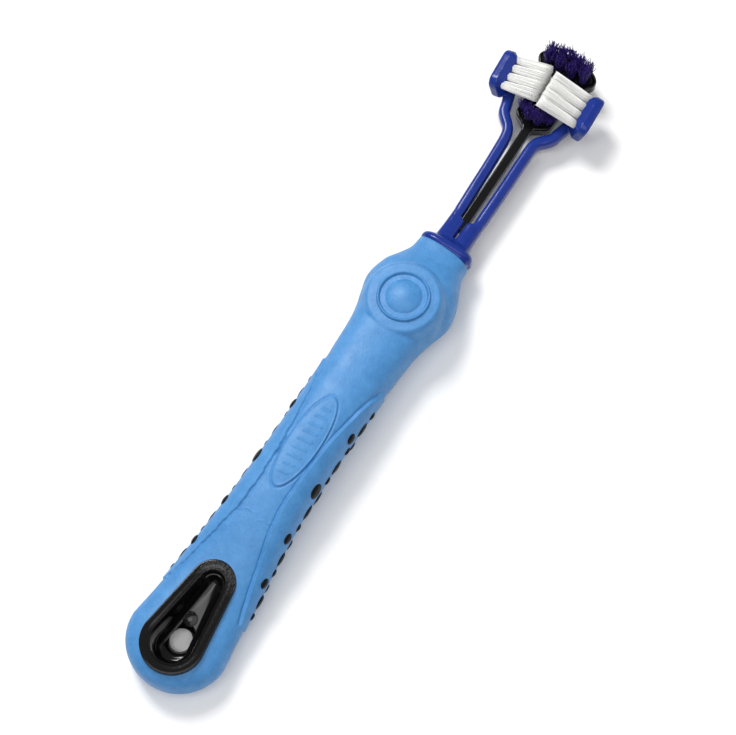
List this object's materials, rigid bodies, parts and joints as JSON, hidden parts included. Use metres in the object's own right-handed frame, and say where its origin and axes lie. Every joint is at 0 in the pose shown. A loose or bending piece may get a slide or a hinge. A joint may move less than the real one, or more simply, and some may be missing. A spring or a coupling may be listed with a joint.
{
  "type": "pet toothbrush",
  "caption": "Long-handled pet toothbrush with a soft grip, a hanging dish in the butt, two facing side heads on flexing arms and a centre head on a stem between them.",
  "frame": {"origin": "on the resting plane, below the middle of the length and width, with the brush lying on its back", "axes": "+X along the handle towards the heads, +Y to the left seen from the front with the heads up, +Z out of the front, where the bristles and the thumb rest are"},
  "size_m": [0.2152, 0.0329, 0.0195],
  "materials": {
    "soft_blue": "light blue soft-touch elastomer, matte with a fine moulded texture",
    "fork_blue": "dark blue polypropylene, polished",
    "black_plastic": "black polypropylene, polished",
    "white_nylon": "white nylon filaments",
    "violet_nylon": "dark violet nylon filaments",
    "anchor_brass": "plain sheared strip"
  },
  "bodies": {
    "handle": {"grip_sleeve": "soft_blue", "handle_core": "black_plastic", "fork_collar": "fork_blue"},
    "left_arm": {"left_anchor_low_1": "anchor_brass", "left_anchor_low_2": "anchor_brass", "left_anchor_low_3": "anchor_brass", "left_anchor_top_1": "anchor_brass", "left_anchor_top_2": "anchor_brass", "left_anchor_top_3": "anchor_brass", "left_anchor_top_4": "anchor_brass", "left_arm": "fork_blue", "left_tuft_low_1": "white_nylon", "left_tuft_low_2": "white_nylon", "left_tuft_low_3": "white_nylon", "left_tuft_top_1": "white_nylon", "left_tuft_top_2": "white_nylon", "left_tuft_top_3": "white_nylon", "left_tuft_top_4": "white_nylon"},
    "right_arm": {"right_anchor_low_1": "anchor_brass", "right_anchor_low_2": "anchor_brass", "right_anchor_low_3": "anchor_brass", "right_anchor_top_1": "anchor_brass", "right_anchor_top_2": "anchor_brass", "right_anchor_top_3": "anchor_brass", "right_anchor_top_4": "anchor_brass", "right_arm": "fork_blue", "right_tuft_low_1": "white_nylon", "right_tuft_low_2": "white_nylon", "right_tuft_low_3": "white_nylon", "right_tuft_top_1": "white_nylon", "right_tuft_top_2": "white_nylon", "right_tuft_top_3": "white_nylon", "right_tuft_top_4": "white_nylon"},
    "centre_prong": {"centre_anchor_far_1": "anchor_brass", "centre_anchor_far_2": "anchor_brass", "centre_anchor_far_3": "anchor_brass", "centre_anchor_far_4": "anchor_brass", "centre_anchor_far_5": "anchor_brass", "centre_anchor_front_1": "anchor_brass", "centre_anchor_front_2": "anchor_brass", "centre_anchor_mid_1": "anchor_brass", "centre_anchor_mid_2": "anchor_brass", "centre_anchor_mid_3": "anchor_brass", "centre_anchor_mid_4": "anchor_brass", "centre_anchor_near_1": "anchor_brass", "centre_anchor_near_2": "anchor_brass", "centre_prong": "black_plastic", "centre_tuft_far_1": "violet_nylon", "centre_tuft_far_2": "violet_nylon", "centre_tuft_far_3": "violet_nylon", "centre_tuft_far_4": "violet_nylon", "centre_tuft_far_5": "violet_nylon", "centre_tuft_front_1": "violet_nylon", "centre_tuft_front_2": "violet_nylon", "centre_tuft_mid_1": "violet_nylon", "centre_tuft_mid_2": "violet_nylon", "centre_tuft_mid_3": "violet_nylon", "centre_tuft_mid_4": "violet_nylon", "centre_tuft_near_1": "violet_nylon", "centre_tuft_near_2": "violet_nylon"}
  },
  "joints": [
    {"name": "left_arm_flex", "type": "hinge", "parent": "handle", "child": "left_arm", "pos_m": [0.0485, 0.00345, 0.0068], "axis": [0, 0, 1], "range_deg": [0, 4], "stiffness_Nm_per_rad": 1.15},
    {"name": "right_arm_flex", "type": "hinge", "parent": "handle", "child": "right_arm", "pos_m": [0.0485, -0.00345, 0.0068], "axis": [0, 0, -1], "range_deg": [0, 4], "stiffness_Nm_per_rad": 1.15},
    {"name": "centre_prong_flex", "type": "hinge", "parent": "handle", "child": "centre_prong", "pos_m": [0.0458, 0, 0.0067], "axis": [0, 1, 0], "range_deg": [0, 4], "stiffness_Nm_per_rad": 0.8}
  ]
}
